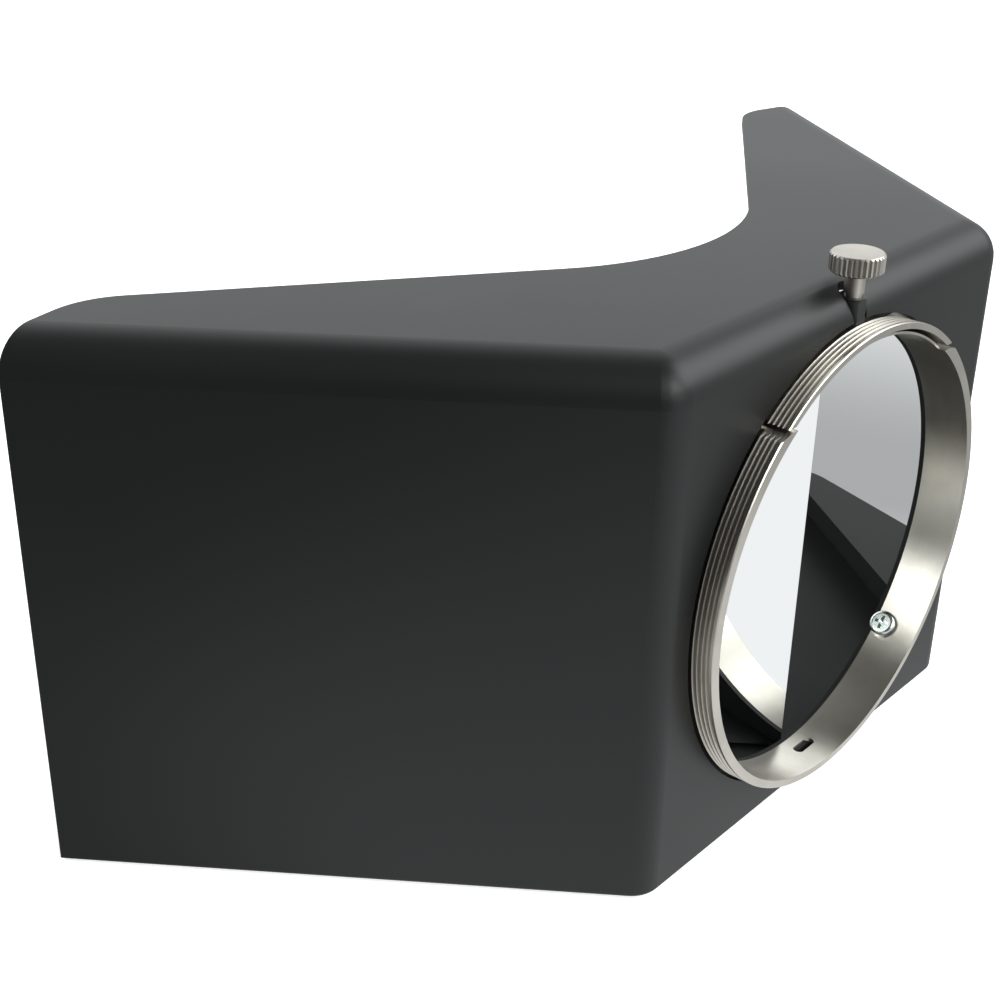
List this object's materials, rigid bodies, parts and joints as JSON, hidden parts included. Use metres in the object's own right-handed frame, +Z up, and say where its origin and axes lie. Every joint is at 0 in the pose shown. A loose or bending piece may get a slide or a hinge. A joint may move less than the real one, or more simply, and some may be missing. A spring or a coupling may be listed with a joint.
{
  "type": "twin-view mirror attachment for a camera lens",
  "caption": "Black chevron housing with inner and outer mirror pairs, held in a lens's filter thread by a ring whose threaded shoe is jacked outwards by a thumb screw.",
  "frame": {"origin": "on the clamp ring's thread axis, at the outside face of the front panel", "axes": "+X right as seen from the ring side, +Y towards the scene, +Z up through the thumb screw"},
  "size_m": [0.1856, 0.0743, 0.085],
  "materials": {
    "black_housing": "matt black powder coat on sheet",
    "black_plate": "flat black",
    "zinc_steel": "bright zinc plate",
    "black_screw": "black oxide steel",
    "nickel_ring": "satin nickel, turned",
    "nickel_knob": "satin nickel, knurled",
    "front_mirror": "front-surface mirror glass",
    "bonding_pad": "black foam adhesive"
  },
  "bodies": {
    "housing": {"housing_shell": "black_housing", "base_plate": "black_housing", "mount_plate": "black_plate", "mirror_wedge": "black_plate", "tapped_blocks": "black_plate", "mount_studs": "zinc_steel", "plate_nuts": "zinc_steel", "ring_screws": "zinc_steel", "base_screws": "black_screw", "wedge_screws": "black_screw", "fixed_ring": "nickel_ring", "inner_mirror_left": "front_mirror", "inner_mirror_right": "front_mirror", "outer_mirror_left": "front_mirror", "outer_mirror_right": "front_mirror", "inner_pads_left": "bonding_pad", "inner_pads_right": "bonding_pad", "outer_pads_left": "bonding_pad", "outer_pads_right": "bonding_pad"},
    "shoe": {"clamp_shoe": "nickel_ring", "shoe_bush": "black_screw"},
    "jack_screw": {"thumb_screw": "nickel_knob", "foot_clip": "zinc_steel"}
  },
  "joints": [
    {"name": "thumb_turn", "type": "hinge", "parent": "housing", "child": "jack_screw", "pos_m": [0, 0.0016, 0.0449], "axis": [0, 0, -1], "range_deg": [-481, 321]},
    {"name": "shoe_lift", "type": "slide", "parent": "housing", "child": "shoe", "axis": [0, 0, 1], "range_m": [-0.0006, 0.0004]}
  ],
  "couplings": [
    {"joint": "thumb_turn", "follows": "shoe_lift", "rad_per_m": 13963}
  ]
}
